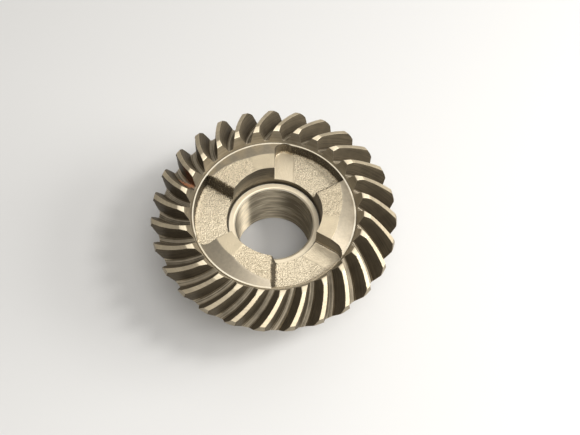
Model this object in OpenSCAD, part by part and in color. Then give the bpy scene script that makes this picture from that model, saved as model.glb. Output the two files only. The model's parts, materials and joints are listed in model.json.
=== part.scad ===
// Reverse gear of an outboard gearcase: a spiral bevel gear with three clutch lugs on its face,
// forged and machined in one piece. It lies on the end of its hub, teeth up, bore along Z.
// Tooth proportions are in modules: one module is the pitch diameter over the number of teeth.

/* [Teeth] */
// Number of teeth
teeth = 27; // [22:1:34]
// Number of teeth on the mating pinion, which sets the pitch cone
pinion_teeth = 13; // [11:1:16]
// Largest diameter, at the outer ends of the teeth
outer_d = 73; // [68:0.5:80]
// Height of the teeth above the pitch cone, in modules
addendum = 0.5; // [0.3:0.01:0.7]
// Depth of the tooth roots below the pitch cone, in modules
dedendum = 1.65; // [1.3:0.01:1.75]
// Width of the tooth tips, in modules
tip_land = 0.59; // [0.4:0.01:0.65]
// Pressure angle of the flanks at the tooth tip
tip_pressure_angle = 24.5; // [20:0.5:27]
// How much the flanks curve, as the change of their slope over a depth of one module
flank_curve = 0.07; // [0:0.005:0.1]
// Fillet between flank and root, in modules
root_fillet = 0.26; // [0.1:0.01:0.35]
// Spiral angle at the middle of the teeth
spiral_angle = 30; // [20:1:36]
// Radius of the cutter that the lengthwise curve of the teeth follows
cutter_r = 30; // [25:1:60]
// Width of the turned edge between the tooth tips and the largest diameter
heel_edge_w = 0.5; // [0.1:0.1:1]
// Height of that edge
heel_edge_h = 1.8; // [0.5:0.1:2.5]
// How far the flat on the inner tips is turned below their sharp corner
crown_cut = 0.7; // [0.1:0.05:1.2]
// Angle from a drive face to the nearest tooth at its inner end
tooth_phase = -0.7; // [-6:0.1:6]

/* [Face] */
// Height of the rim land above the hub end
rim_h = 26.5; // [25:0.1:29]
// Radius to the middle of the rim land
rim_r = 24.03; // [22:0.05:26]
// Width of the rim land
rim_w = 0.5; // [0.2:0.1:0.8]
// Width of the small groove between the rim land and the teeth, at its bottom
rim_groove_w = 0.12; // [0.05:0.01:0.4]
// Depth of that groove
rim_groove = 0.3; // [0.1:0.1:0.6]
// Height of the tooth roots above the rim land, at the inner ends of the teeth
toe_step = 0.5; // [0:0.05:1.5]
// Depth of the pocket floors below the rim land
pocket_depth = 5; // [3:0.1:6.5]
// Fillet between pocket floor and pocket walls
pocket_fillet = 1.1; // [0.4:0.1:2]
// Diameter of the counterbore inside the lugs
counterbore_d = 28.4; // [26:0.1:32]
// Depth of the counterbore floor below the rim land
counterbore_depth = 7; // [5.5:0.1:9]
// Width of the relief groove round the counterbore floor
relief_w = 0.45; // [0.2:0.05:0.6]
// Depth of the relief groove
relief_depth = 0.8; // [0.2:0.1:1.5]

/* [Clutch lugs] */
// Number of lugs
lugs = 3; // [3:1:4]
// Angle that one lug takes, from its drive face to its forged end
lug_span = 58; // [40:0.5:65]
// Height of the lugs above the rim land
lug_h = 1.93; // [1:0.01:3]
// Radius where the flat top of a lug meets the turned band
band_r = 19.17; // [17:0.01:21]
// Slope of the forged part of a lug top, which falls from the level part to the forged end
ramp_angle = 6.5; // [4:0.5:10]
// How far that slope falls
ramp_drop = 1.25; // [0.4:0.05:1.6]
// Draft of the forged end of a lug
forged_draft = 11; // [5:0.5:20]
// Rounding along the top of the forged end
forged_round = 0.9; // [0.3:0.1:1.2]
// Diameter of the end mill that cuts the slot along a drive face
slot_d = 6; // [4:0.5:8]
// How far the end of that slot cuts into the rim land
slot_bite = 0.22; // [0:0.02:0.4]
// How far that slot is cut below the pocket floor
slot_step = 0.1; // [0.05:0.05:0.5]

/* [Hub] */
// Diameter of the bore
bore_d = 23; // [20:0.5:25]
// Chamfer at both ends of the bore
bore_chamfer = 0.7; // [0.2:0.1:1]
// Diameter of the bearing journal on the back
journal_d = 30; // [27:0.5:34]
// Length of the bearing journal
journal_l = 14; // [10:0.5:16]
// Chamfer at the end of the journal
journal_chamfer = 1; // [0.4:0.1:1.5]
// Width of the undercut between journal and shoulder
undercut_w = 1.4; // [0.8:0.1:2]
// Depth of the undercut
undercut_depth = 0.3; // [0.1:0.1:0.6]
// How far the undercut runs up into the shoulder
undercut_rise = 0.2; // [0.1:0.05:0.5]
// Diameter of the bearing shoulder
shoulder_d = 37; // [35:0.5:42]
// Height of the bearing shoulder
shoulder_h = 1.5; // [0.5:0.1:2]
// Diameter of the flat back of the web
web_d = 54; // [46:0.5:60]
// Thickness of the heel rim under the tooth roots
heel_rim = 1.8; // [1:0.1:3]

/* [Hidden] */
$fn = 96;
tiny = 0.01;

// Cones, all through one point on the axis, and the module for each millimetre of cone distance
pitch_drop = atan(pinion_teeth / teeth);
module_per_a = 2 * cos(pitch_drop) / teeth;
face_drop = pitch_drop - atan(addendum * module_per_a);
root_drop = pitch_drop + atan(dedendum * module_per_a);

// Levels and radii on the face
floor_z = rim_h - pocket_depth;
lug_z = rim_h + lug_h;
ring_z = rim_h - counterbore_depth;
counterbore_r = counterbore_d / 2;
rim_in = rim_r - rim_w / 2;
rim_out = rim_r + rim_w / 2;
groove_z = rim_h - rim_groove;

// Inner end of the teeth: a face square to the pitch cone, which places the point of the cones
toe_foot_r = rim_out + rim_groove_w;
toe_root_z = rim_h + toe_step;
toe_root_r = toe_foot_r + (toe_root_z - groove_z) * tan(pitch_drop);
apex_z = toe_root_z + toe_root_r * tan(root_drop);
toe_a = cone_distance(toe_root_r, toe_root_z);
crown_z = apex_z - toe_a * (sin(pitch_drop) - addendum * module_per_a * cos(pitch_drop)) - crown_cut;
crown_in_r = square_to_cone(toe_a, crown_z);
crown_out_r = (apex_z - crown_z) / tan(face_drop);

// Outer end of the teeth: tip, turned edge, then a face square to the pitch cone
heel_r = outer_d / 2;
tip_r = heel_r - heel_edge_w;
tip_z = apex_z - tip_r * tan(face_drop);
heel_z = tip_z - heel_edge_h;
heel_a = cone_distance(heel_r, heel_z);
heel_depth = (addendum + dedendum) * module_per_a * heel_a;
heel_low_z = heel_z - (heel_depth - heel_edge_h + heel_rim) * cos(pitch_drop);
heel_low_r = square_to_cone(heel_a, heel_low_z);
web_z = journal_l + shoulder_h;

// Lengthwise curve of the teeth
face_width = heel_a - toe_a;
mid_a = (heel_a + toe_a) / 2;
cutter_center = sqrt(mid_a * mid_a + cutter_r * cutter_r - 2 * mid_a * cutter_r * sin(spiral_angle));

// Tooth space cutter: how far it runs past the ends and the tips, and how finely it follows the curves
run_past = 0.9;
over_tip = 0.4;
space_stations = 10;
flank_steps = 3;
fillet_steps = 2;

// Forged lug end: how far its lower fillet dips under the pocket floor, and how finely its arcs are made
fillet_dip = 0.02;
arc_steps = 6;

// First drive face, the way to the next one, and a length that passes everything
drive_angle = 90;
lug_pitch = 360 / lugs;
pocket_span = lug_pitch - lug_span;
reach = outer_d;

// Distance from the point of the cones, measured along the pitch cone
function cone_distance(r, z) = r * cos(pitch_drop) + (apex_z - z) * sin(pitch_drop);

// Radius at a height on the surface that stands square to the pitch cone at one cone distance
function square_to_cone(a, z) = (a - (apex_z - z) * sin(pitch_drop)) / cos(pitch_drop);

// Angle of the lengthwise tooth curve at one cone distance: an arc of the cutter circle on the cone
function cutter_angle(a) =
    acos((a * a + cutter_center * cutter_center - cutter_r * cutter_r) / (2 * a * cutter_center));
function spiral_turn(a) = (cutter_angle(a) - cutter_angle(toe_a)) / cos(pitch_drop);

// Points of an arc from one angle to another
function arc(center, r, from, to) =
    [for (i = [0 : arc_steps])
        let (e = from + (to - from) * i / arc_steps)
        center + r * [cos(e), sin(e)]];

// Half of the tooth thickness at a depth below the tip
function half_tooth(d) = tip_land / 2 + d * tan(tip_pressure_angle) - flank_curve / 2 * d * d;

// One side of a tooth space, in modules: [depth below tip, half of the tooth thickness]
flank_end = addendum + dedendum - root_fillet;
flank_side = [for (i = [0 : flank_steps])
    let (d = -over_tip + (flank_end + over_tip) * i / flank_steps)
    [d, half_tooth(d)]];
fillet_side = [for (i = [1 : fillet_steps])
    let (e = 90 * i / fillet_steps)
    [flank_end + root_fillet * sin(e), half_tooth(flank_end) + root_fillet * (1 - cos(e))]];
space_side = concat(flank_side, fillet_side);

// A point of that side at cone distance a: everything shrinks towards the point of the cones
function space_point(a, side, p) =
    let (
        m = a * module_per_a,
        h = (addendum - p[0]) * m,
        r = a * cos(pitch_drop) + h * sin(pitch_drop),
        z = apex_z - a * sin(pitch_drop) + h * cos(pitch_drop),
        half_gap = 180 / teeth - p[1] * m / r * 180 / PI,
        turn = spiral_turn(a) + side * half_gap
    ) [r * cos(turn), r * sin(turn), z];

function space_section(a) = concat(
    [for (i = [0 : len(space_side) - 1]) space_point(a, -1, space_side[i])],
    [for (i = [len(space_side) - 1 : -1 : 0]) space_point(a, 1, space_side[i])]);

// A closed solid through a row of sections that all have the same number of points
module loft(sections) {
    rows = len(sections);
    n = len(sections[0]);
    near = [for (j = [0 : rows - 2], i = [0 : n - 1])
        [j * n + i, (j + 1) * n + i, (j + 1) * n + (i + 1) % n]];
    far = [for (j = [0 : rows - 2], i = [0 : n - 1])
        [j * n + i, (j + 1) * n + (i + 1) % n, j * n + (i + 1) % n]];
    first = [[for (i = [0 : n - 1]) i]];
    last = [[for (i = [n - 1 : -1 : 0]) (rows - 1) * n + i]];
    polyhedron(points = [for (s = sections, p = s) p], faces = concat(near, far, first, last));
}

module tooth_space() {
    from = toe_a - run_past;
    step = (face_width + 2 * run_past) / (space_stations - 1);
    loft([for (j = [0 : space_stations - 1]) space_section(from + j * step)]);
}

// The turned blank: bore, face with the lugs still a full ring, tooth cone, back and hub
module turned_blank() {
    bore_r = bore_d / 2;
    journal_r = journal_d / 2;
    rotate_extrude() polygon([
        [bore_r, bore_chamfer],
        [bore_r, ring_z - bore_chamfer],
        [bore_r + bore_chamfer, ring_z],
        [counterbore_r - relief_w, ring_z],
        [counterbore_r - relief_w, ring_z - relief_depth],
        [counterbore_r, ring_z - relief_depth],
        [counterbore_r, lug_z],
        [band_r, lug_z],
        [rim_in, rim_h],
        [rim_out, rim_h],
        [toe_foot_r, groove_z],
        [crown_in_r, crown_z],
        [crown_out_r, crown_z],
        [tip_r, tip_z],
        [heel_r, heel_z],
        [heel_low_r, heel_low_z],
        [web_d / 2, web_z],
        [shoulder_d / 2, web_z],
        [shoulder_d / 2, journal_l],
        [journal_r + undercut_depth, journal_l],
        [journal_r - undercut_depth, journal_l + undercut_rise],
        [journal_r - undercut_depth, journal_l - undercut_w],
        [journal_r, journal_l - undercut_w],
        [journal_r, journal_chamfer],
        [journal_r - journal_chamfer, 0],
        [bore_r + bore_chamfer, 0]
    ]);
}

// The forged pocket before a drive face: a ring sector with a filleted floor. It starts in the middle of
// the slot along the drive face, and ends at the forged end of the next lug, with the slope above it.
module pocket() {
    intersection() {
        rotate_extrude() difference() {
            translate([counterbore_r - tiny, floor_z]) square([rim_in - counterbore_r + tiny, reach]);
            translate([rim_in - pocket_fillet, floor_z]) difference() {
                square(pocket_fillet);
                translate([0, pocket_fillet]) circle(pocket_fillet);
            }
        }
        rotate([0, 0, drive_angle]) translate([-reach, -reach - slot_d / 2, 0])
            cube([2 * reach, reach, reach]);
        rotate([0, 0, drive_angle - pocket_span]) translate([0, 0, floor_z])
            rotate([90, 0, 90]) linear_extrude(reach) above_forged_end();
    }
}

// Section across a forged lug end, open side: fillet, drafted wall, rounded top and slope.
// X runs away from the lug, Y is the height above the pocket floor.
module above_forged_end() {
    end_h = pocket_depth + lug_h - ramp_drop;
    foot_x = (pocket_fillet - (pocket_fillet - end_h) * sin(forged_draft)) / cos(forged_draft);
    spread = forged_round / cos(forged_draft + ramp_angle);
    crest_x = spread * (sin(forged_draft) - cos(ramp_angle));
    crest_y = end_h + spread * (sin(ramp_angle) - cos(forged_draft));
    polygon(concat(
        [[reach, reach], [reach, -reach], [foot_x, -reach]],
        arc([foot_x, pocket_fillet - fillet_dip], pocket_fillet, 270, 180 + forged_draft),
        arc([crest_x, crest_y], forged_round, forged_draft, 90 - ramp_angle),
        [[-reach, end_h + reach * tan(ramp_angle)], [-reach, reach]]));
}

// The level slot of an end mill along the drive face
module slot() {
    slot_r = slot_d / 2;
    start_y = counterbore_r - relief_w;
    end_y = rim_in + slot_bite - slot_r;
    rotate([0, 0, drive_angle - 90]) translate([slot_r, 0, floor_z - slot_step]) linear_extrude(reach) {
        translate([0, end_y]) circle(slot_r);
        translate([-slot_r, start_y]) square([slot_d, end_y - start_y]);
    }
}

module reverse_gear() {
    color("tan") difference() {
        turned_blank();
        for (i = [0 : teeth - 1])
            rotate([0, 0, drive_angle + tooth_phase + (i + 0.5) * 360 / teeth]) tooth_space();
        for (i = [0 : lugs - 1]) rotate([0, 0, i * lug_pitch]) {
            pocket();
            slot();
        }
    }
}

reverse_gear();
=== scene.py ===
"""Looks of an outboard reverse gear: one closed mesh of a spiral bevel gear with clutch lugs, its bare
steel finishes, and a plain stage. Lengths are in metres and angles in radians, in the frame of the solid."""

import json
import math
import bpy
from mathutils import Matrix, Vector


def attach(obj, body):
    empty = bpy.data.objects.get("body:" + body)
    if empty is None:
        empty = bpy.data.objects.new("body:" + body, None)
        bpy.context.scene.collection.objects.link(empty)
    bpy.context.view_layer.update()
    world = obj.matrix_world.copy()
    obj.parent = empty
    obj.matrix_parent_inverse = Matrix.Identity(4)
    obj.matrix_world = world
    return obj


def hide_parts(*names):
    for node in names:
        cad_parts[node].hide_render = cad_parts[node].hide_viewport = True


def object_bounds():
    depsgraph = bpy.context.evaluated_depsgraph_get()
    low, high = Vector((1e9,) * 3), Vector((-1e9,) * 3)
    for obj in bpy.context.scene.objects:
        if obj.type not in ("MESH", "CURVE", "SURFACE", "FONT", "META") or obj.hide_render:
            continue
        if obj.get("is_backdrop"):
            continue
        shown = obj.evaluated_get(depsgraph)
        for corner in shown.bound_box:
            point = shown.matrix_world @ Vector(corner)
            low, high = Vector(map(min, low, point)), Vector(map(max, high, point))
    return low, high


bl_info = {
    "name": "Outboard Reverse Gear",
    "version": (1, 0, 0),
    "blender": (4, 5, 0),
    "location": "View3D > Sidebar > Gear",
    "description": "Builds a forged spiral bevel reverse gear, its steel finishes and a studio stage",
    "category": "Add Mesh",
}

import bmesh
import bpy
import numpy as np
from bpy.props import FloatProperty, FloatVectorProperty, IntProperty, PointerProperty
from mathutils import Matrix, Vector, noise

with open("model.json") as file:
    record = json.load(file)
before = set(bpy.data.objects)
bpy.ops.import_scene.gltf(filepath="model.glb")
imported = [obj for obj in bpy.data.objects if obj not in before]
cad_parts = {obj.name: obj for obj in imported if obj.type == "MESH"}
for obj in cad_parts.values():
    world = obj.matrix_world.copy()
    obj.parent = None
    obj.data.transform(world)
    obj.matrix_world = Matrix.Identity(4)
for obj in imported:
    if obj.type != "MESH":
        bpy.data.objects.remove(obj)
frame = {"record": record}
CAD_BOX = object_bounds()
NODE = "reverse_gear"
MM = 0.001

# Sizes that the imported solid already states
MOUNTS = {mount["name"]: mount for mount in frame["record"]["mounts"]}
OUTER_R = max(abs(side) for corner in CAD_BOX for side in corner[:2])
BORE_R = MOUNTS["shaft_bore"]["dims"]["r_mm"] * MM
JOURNAL_R = MOUNTS["bearing_journal"]["dims"]["r_mm"] * MM
SHOULDER_Z = MOUNTS["bearing_shoulder"]["pos_m"][2]

# Finishes of the surface, in the order of the mesh's material slots
FINISHES = (
    "flank", "root", "tip", "crown", "toe", "heel", "rim",
    "face", "counterbore", "ring", "bore", "journal", "back",
)
ZONE = {name: index for index, name in enumerate(FINISHES)}

# How finely the mesh follows the shape
FLANK_STEPS = 6
FILLET_STEPS = 4
TOE_STEPS = 3
CROWN_STEPS = 3
LENGTH_STEPS = 14
HEEL_STEPS = 3
LUG_COLUMNS = 60
CREST_STEPS = 6
WALL_STEPS = 4
FOOT_STEPS = 6
POCKET_COLUMNS = 72
SLOT_CROWDING = 1.3
DRIVE_STEPS = 5
TOP_ROWS = 16
BAND_ROWS = 12
RIM_FILLET_ROWS = 5
LAND_ROWS = 3
MOUTH_STEPS = 5
BORE_ROWS = 9
JOIN_DISTANCE = 2e-6
SHARP_ANGLE = math.radians(32.0)

# Unevenness of the forged faces: sizes of its two layers, and the share of the coarse one
COARSE_GRAIN = 1.6 * MM
FINE_GRAIN = 0.6 * MM
COARSE_SHARE = 0.6

# Marks that the mesh carries for its finishes: the forged mark of turned, cast and raw surfaces, the grain
# in units of the grain height, how much painted shade the walls get along the section of a forged end, and
# how much of the drive faces' painted shade colour a drive face shows
TURNED = -1.0
AS_FORGED = 0.3
RAW_RIM = 1.0
END_GRAIN = 3.0
RIM_WALL_GRAIN = 0.5
RIM_SHADE_FADE = 4
END_SPOTS = (0.0, 0.3, 0.45, 0.65, 1.0)
END_SHADE = (0.1, 0.75, 1.0, 1.0, 0.2)
DRIVE_SHADE = 0.92

# Places of wear: two pockets and a tooth space, counted from the first drive face, and the side of the bore
# where a highlight is painted
LEFT_POCKET = 1
FRONT_POCKET = 2
RUST_SPACE = 5
HIGHLIGHT_TURN = math.radians(152.0)

# The stain in that tooth space, in millimetres from the point of the cones and from the middle of the root.
# Its darker patch fades in over two ranges, the one lengthwise counted from where the stain starts.
RUST_FROM = 29.1
RUST_TO = 36.6
RUST_FADE_IN = 1.5
RUST_FADE_OUT = 0.5
RUST_LEAN = 0.295
RUST_HALF = 0.75
RUST_CORE = 0.3
RUST_RAGGED = 1.6
RUST_RAGGED_SIZE = 0.8 * MM
RUST_PATCH_SIZE = 1.2 * MM
RUST_PATCH_L = (6.0, 3.0)
RUST_PATCH_W = (-0.4, -0.9)
SAME_SPACE = 0.1

# Finish of turned and gear-cut steel: its patches of stain, how much they show, and its lines
STAIN_SIZE = 4.0 * MM
STAIN_SHARE = 0.45
STAIN_ROUGHER = 0.08
TOOTH_STAIN_SIZE = 3.0 * MM
TOOTH_STAIN_SHARE = 0.25
TOOTH_STAIN_ROUGHER = 0.1
TOOTH_GLOSS = 0.1
LATHE_WAVES = 1.7
ACROSS_LINES = 0.25

# Finish of the rim land: its lines and its raw part
RIM_LINE_W = 0.2 * MM
RIM_LINE_RELIEF = 0.05
RIM_DEPTH = 0.12 * MM
RIM_ROUGHNESS = 0.3
RAW_SIZE = 0.45 * MM
RAW_ROUGHNESS = 0.6

# Finish of the bore: its lines, and the cosines of the angles at which its strip of painted highlight ends
# and is full
BORE_LINE_W = 0.35 * MM
BORE_RING_W = 1.3 * MM
BORE_DEPTH = 0.01 * MM
BORE_ROUGHNESS = 0.56
HIGHLIGHT_ROUGHNESS = 0.6
HIGHLIGHT_SHARE = 0.45
HIGHLIGHT_END = 0.9
HIGHLIGHT_FULL = 0.985
HIGHLIGHT_WAVE = 1 / 2.6
HIGHLIGHT_UNEVEN = 0.1

# Finish of the lug side: sizes of its patterns, how much they show, and its gloss
EDGE_SIZE = 0.7 * MM
EDGE_WIDTH = 0.16
SAND_SIZE = 0.4 * MM
SAND_RELIEF = 0.22
GRAIN_SIZE = 0.39 * MM
LUMP_SIZE = 1.5 * MM
LUMP_SHARE = 0.15
LEVEL_PATCH = 3.0 * MM
LEVEL_PATCH_SHARE = 0.4
BAND_PATCH = 0.9 * MM
FLOOR_RELIEF = 0.85
SHADE_RAGGED = 1.8
# Painted shadow line round the slots: its width in the forged mark, and its strength
SLOT_SHADOW_W = 0.3
SLOT_SHADOW = 0.1
FACE_DEPTH = 0.46 * MM
LEVEL_ROUGHNESS = 0.45
BAND_ROUGHNESS = 0.46
FORGED_ROUGHNESS = 0.5

# The stage: side and gloss of the floor, and the camera's nearest distance and its film in millimetres
FLOOR_SIDE = 6.0
FLOOR_ROUGHNESS = 0.85
FLOOR_GLOSS = 0.2
CAMERA_NEAR = 0.01
FILM_W = 36.0


def length(name, description, millimetres):
    """A size that a user may change, given in millimetres and kept in metres."""
    return FloatProperty(
        name=name,
        description=description,
        default=millimetres * MM,
        min=0.0,
        precision=6,
        unit="LENGTH",
    )


def angle(name, description, degrees):
    """An angle that a user may change, given in degrees."""
    return FloatProperty(
        name=name,
        description=description,
        default=math.radians(degrees),
        precision=4,
        unit="ROTATION",
    )


def number(name, description, value):
    """A plain number that a user may change."""
    return FloatProperty(name=name, description=description, default=value, precision=4)


def place(name, description, millimetres):
    """A position that a user may change, given in millimetres and kept in metres."""
    return FloatVectorProperty(
        name=name,
        description=description,
        default=[side * MM for side in millimetres],
        size=3,
        precision=4,
        subtype="TRANSLATION",
    )


def colour(name, description, value):
    """A linear colour that a user may change."""
    return FloatVectorProperty(
        name=name,
        description=description,
        default=value,
        size=3,
        min=0.0,
        max=1.0,
        subtype="COLOR",
    )


class GEAR_PG_teeth(bpy.types.PropertyGroup):
    """Spiral bevel teeth, with tooth proportions in modules"""

    teeth: IntProperty(name="Teeth", description="Number of teeth", default=27, min=9)
    pinion_teeth: IntProperty(
        name="Pinion teeth", description="Teeth of the mating pinion", default=13, min=5
    )
    outer_r: length("Outer radius", "Largest radius, at the outer tooth ends", OUTER_R / MM)
    addendum: number("Addendum", "Tooth height above the pitch cone, in modules", 0.5)
    dedendum: number("Dedendum", "Root depth below the pitch cone, in modules", 1.65)
    tip_land: number("Tip land", "Width of the tooth tips, in modules", 0.59)
    pressure: angle("Pressure angle", "Flank slope at the tooth tip", 24.5)
    flank_curve: number("Flank curve", "Change of flank slope over a module of depth", 0.07)
    root_fillet: number("Root fillet", "Fillet between flank and root, in modules", 0.26)
    spiral: angle("Spiral angle", "Spiral angle at the middle of the teeth", 30.0)
    cutter_r: length("Cutter radius", "Radius of the lengthwise tooth curve", 30.0)
    heel_edge_w: length("Heel edge width", "Width of the turned edge at the outer tips", 0.5)
    heel_edge_h: length("Heel edge height", "Height of that edge", 1.8)
    crown_cut: length("Crown cut", "Depth of the flat on the inner tips", 0.7)
    phase: angle("Phase", "Angle from a drive face to the nearest tooth", -0.7)
    edge_break: length("Edge break", "Width of the broken tooth edges", 0.06)


class GEAR_PG_face(bpy.types.PropertyGroup):
    """Rim, counterbore, clutch lugs and pockets on the toothed side"""

    rim_h: length("Rim height", "Height of the rim land above the hub end", 26.5)
    rim_r: length("Rim radius", "Radius to the middle of the rim land", 24.03)
    rim_w: length("Rim width", "Width of the rim land", 0.5)
    rim_groove_w: length("Groove width", "Width of the groove between rim and teeth", 0.12)
    rim_groove: length("Groove depth", "Depth of that groove", 0.3)
    rim_wear: length("Rim wear", "How far the raw rim of the front pocket lies below the turned rim", 0.25)
    toe_step: length("Toe step", "Height of the inner tooth roots above the rim", 0.5)
    pocket_depth: length("Pocket depth", "Depth of the pocket floors below the rim", 5.0)
    pocket_fillet: length("Pocket fillet", "Fillet round the pocket floors", 1.1)
    counterbore_r: length("Counterbore radius", "Radius of the wall inside the lugs", 14.2)
    counterbore_depth: length("Counterbore depth", "Depth of its floor below the rim", 7.0)
    relief_w: length("Relief width", "Width of the groove round that floor", 0.45)
    relief_depth: length("Relief depth", "Depth of that groove", 0.8)
    lugs: IntProperty(name="Lugs", description="Number of clutch lugs", default=3, min=2)
    lug_span: angle("Lug span", "Angle from a lug's drive face to its forged end", 58.0)
    level_span: angle("Level span", "Angle of the level part of a lug top", 21.4)
    lug_h: length("Lug height", "Height of the lugs above the rim land", 1.93)
    band_r: length("Band radius", "Radius where a lug's top meets the turned band", 19.17)
    ramp: angle("Ramp angle", "Slope of the forged part of a lug top, at its end", 6.5)
    ramp_drop: length("Ramp drop", "How far that slope falls", 1.25)
    draft: angle("Draft", "Draft of the forged lug ends", 11.0)
    forged_round: length("Forged rounding", "Rounding along the top of a forged end", 0.9)
    slot_r: length("Slot radius", "Radius of the slot's round end", 3.0)
    slot_bite: length("Slot bite", "How far the slot cuts into the rim land", 0.22)
    slot_step: length("Slot step", "How far the slot is cut below the pocket floor", 0.1)
    slot_blend: length("Slot blend", "Width of the soft edge between slot and pocket floor", 0.5)
    drive: angle("Drive angle", "Direction of the first drive face", 90.0)
    grain: length("Grain height", "Unevenness of the forged faces", 0.1)
    edge_break: length("Edge break", "Width of the broken edges on the face", 0.08)


class GEAR_PG_hub(bpy.types.PropertyGroup):
    """Bore, bearing journal and back"""

    bore_r: length("Bore radius", "Radius of the bore", BORE_R / MM)
    bore_chamfer: length("Bore chamfer", "Chamfer at both ends of the bore", 0.7)
    journal_r: length("Journal radius", "Radius of the bearing journal", JOURNAL_R / MM)
    journal_l: length("Journal length", "Length of the bearing journal", SHOULDER_Z / MM)
    journal_chamfer: length("Journal chamfer", "Chamfer at the end of the journal", 1.0)
    undercut_w: length("Undercut width", "Width of the undercut at the shoulder", 1.4)
    undercut_depth: length("Undercut depth", "Depth of that undercut", 0.3)
    undercut_rise: length("Undercut rise", "How far the undercut runs up into the shoulder", 0.2)
    shoulder_r: length("Shoulder radius", "Radius of the bearing shoulder", 18.5)
    shoulder_h: length("Shoulder height", "Height of the bearing shoulder", 1.5)
    web_r: length("Web radius", "Radius of the flat back of the web", 27.0)
    heel_rim: length("Heel rim", "Thickness under the tooth roots at the outer end", 1.8)
    edge_break: length("Edge break", "Width of the broken edges on the back", 0.15)


class GEAR_PG_finish(bpy.types.PropertyGroup):
    """Colours of the bare steel"""

    flank_light: colour("Flank, light", "Gear-cut flanks, light lines", (0.17, 0.135, 0.086))
    flank_dark: colour("Flank, dark", "Gear-cut flanks, dark lines", (0.05, 0.04, 0.027))
    root_light: colour("Root, light", "Tooth roots, light lines", (0.62, 0.53, 0.385))
    root_dark: colour("Root, dark", "Tooth roots, dark lines", (0.15, 0.125, 0.088))
    tip_light: colour("Tip, light", "Turned tooth tips, light", (0.74, 0.63, 0.44))
    tip_dark: colour("Tip, dark", "Turned tooth tips, dark", (0.56, 0.47, 0.33))
    # Also the colour of the painted highlight strips at the bore mouth
    bright: colour("Bright steel", "Freshly turned edges and lands", (0.95, 0.89, 0.74))
    turned_light: colour("Turned, light", "Turned faces, light", (0.46, 0.395, 0.29))
    turned_dark: colour("Turned, dark", "Turned faces, dark", (0.27, 0.23, 0.165))
    level_light: colour("Level, light", "Level lug tops and milled slots, light", (0.74, 0.63, 0.44))
    level_dark: colour("Level, dark", "Level lug tops and milled slots, dark", (0.6, 0.505, 0.35))
    # Painted light: the slots below the rim take this lighter colour against their shade; it is also the
    # ring's second colour
    milled: colour("Milled", "Milled slot floors", (0.84, 0.72, 0.52))
    band: colour("Band", "Turned band round the lugs", (0.4, 0.345, 0.26))
    forged_light: colour("Forged, light", "Forged lug tops, tops of the grain", (0.84, 0.72, 0.52))
    # Painted light: the tops of the grain in the pockets below the rim; also a colour of crowns, ring and
    # the bore's painted highlight
    floor_light: colour("Floor, light", "Pocket floors, tops of the grain", (0.94, 0.82, 0.61))
    forged_dark: colour("Forged, dark", "Forged faces, pits of the grain", (0.48, 0.395, 0.26))
    # Painted shade: the dark colour of the drive faces and of the rim wall where a slot bites into it
    cut: colour("Drive face", "Milled drive faces of the lugs", (0.085, 0.07, 0.049))
    # Painted shade: the dark colour of pocket walls, forged lug ends, the rim fillet, the foot of the drive
    # faces and the line round the slots
    wall: colour("Wall", "Dark scale on the walls of the pockets", (0.07, 0.057, 0.039))
    shade: colour("Shaded steel", "Steel in the counterbore and the relief", (0.11, 0.093, 0.067))
    rust: colour("Rust, bright", "Copper-coloured stain in one tooth space", (1.0, 0.46, 0.24))
    rust_dark: colour("Rust, dark", "Darker stain beside it", (0.13, 0.045, 0.018))


class GEAR_PG_stage(bpy.types.PropertyGroup):
    """Floor, light and camera"""

    floor: colour("Floor", "Colour of the plain floor", (0.66, 0.65, 0.63))
    sky: colour("Sky", "Colour of the soft light from all round", (1.0, 0.985, 0.96))
    sky_from: FloatVectorProperty(
        name="Sky direction",
        description="Direction that most of that light comes from",
        default=(0.3, 0.5, 0.81),
        size=3,
        subtype="DIRECTION",
    )
    sky_top: number("Sky, top", "Strength of that light from its brightest direction", 0.98)
    sky_side: number("Sky, side", "Strength of that light from all other directions", 0.25)
    sky_edge: number("Sky edge", "Cosine of the angle at which the bright part of the sky ends", 0.65)
    top_at: place("Top lamp", "Place of the wide lamp above the front", (50.0, -150.0, 470.0))
    top_width: length("Top lamp width", "Width of that lamp", 290.0)
    top_depth: length("Top lamp depth", "Depth of that lamp", 160.0)
    top_power: number("Top lamp power", "Power of that lamp, in watts", 0.98)
    side_at: place("Side lamp", "Place of the lamp on the right", (336.0, -5.0, 474.0))
    side_size: length("Side lamp size", "Side of that lamp", 110.0)
    side_power: number("Side lamp power", "Power of that lamp, in watts", 1.12)
    fill_at: place("Fill lamp", "Place of the soft low lamp on the right", (500.0, 0.0, 250.0))
    fill_size: length("Fill lamp size", "Side of that lamp", 300.0)
    fill_power: number("Fill lamp power", "Power of that lamp, in watts", 2.6)
    camera_distance: length("Camera distance", "Distance from the middle of the rim", 254.44)
    camera_azimuth: angle("Camera azimuth", "Turn of the camera round the gear", -0.3)
    camera_elevation: angle("Camera elevation", "Angle of the camera above the floor", 62.6)
    camera_roll: angle("Camera roll", "Roll of the picture, clockwise", 0.885)
    picture_w: number("Picture width", "Width of the photograph, in pixels", 580.0)
    picture_h: number("Picture height", "Height of the photograph, in pixels", 435.0)
    focal: number("Focal length", "Focal length of the camera, in pixels", 861.14)
    aim_x: number("Aim, across", "Pixel column of the middle of the rim, before the roll", 274.1)
    aim_y: number("Aim, down", "Pixel row of the middle of the rim, before the roll", 212.68)


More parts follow.
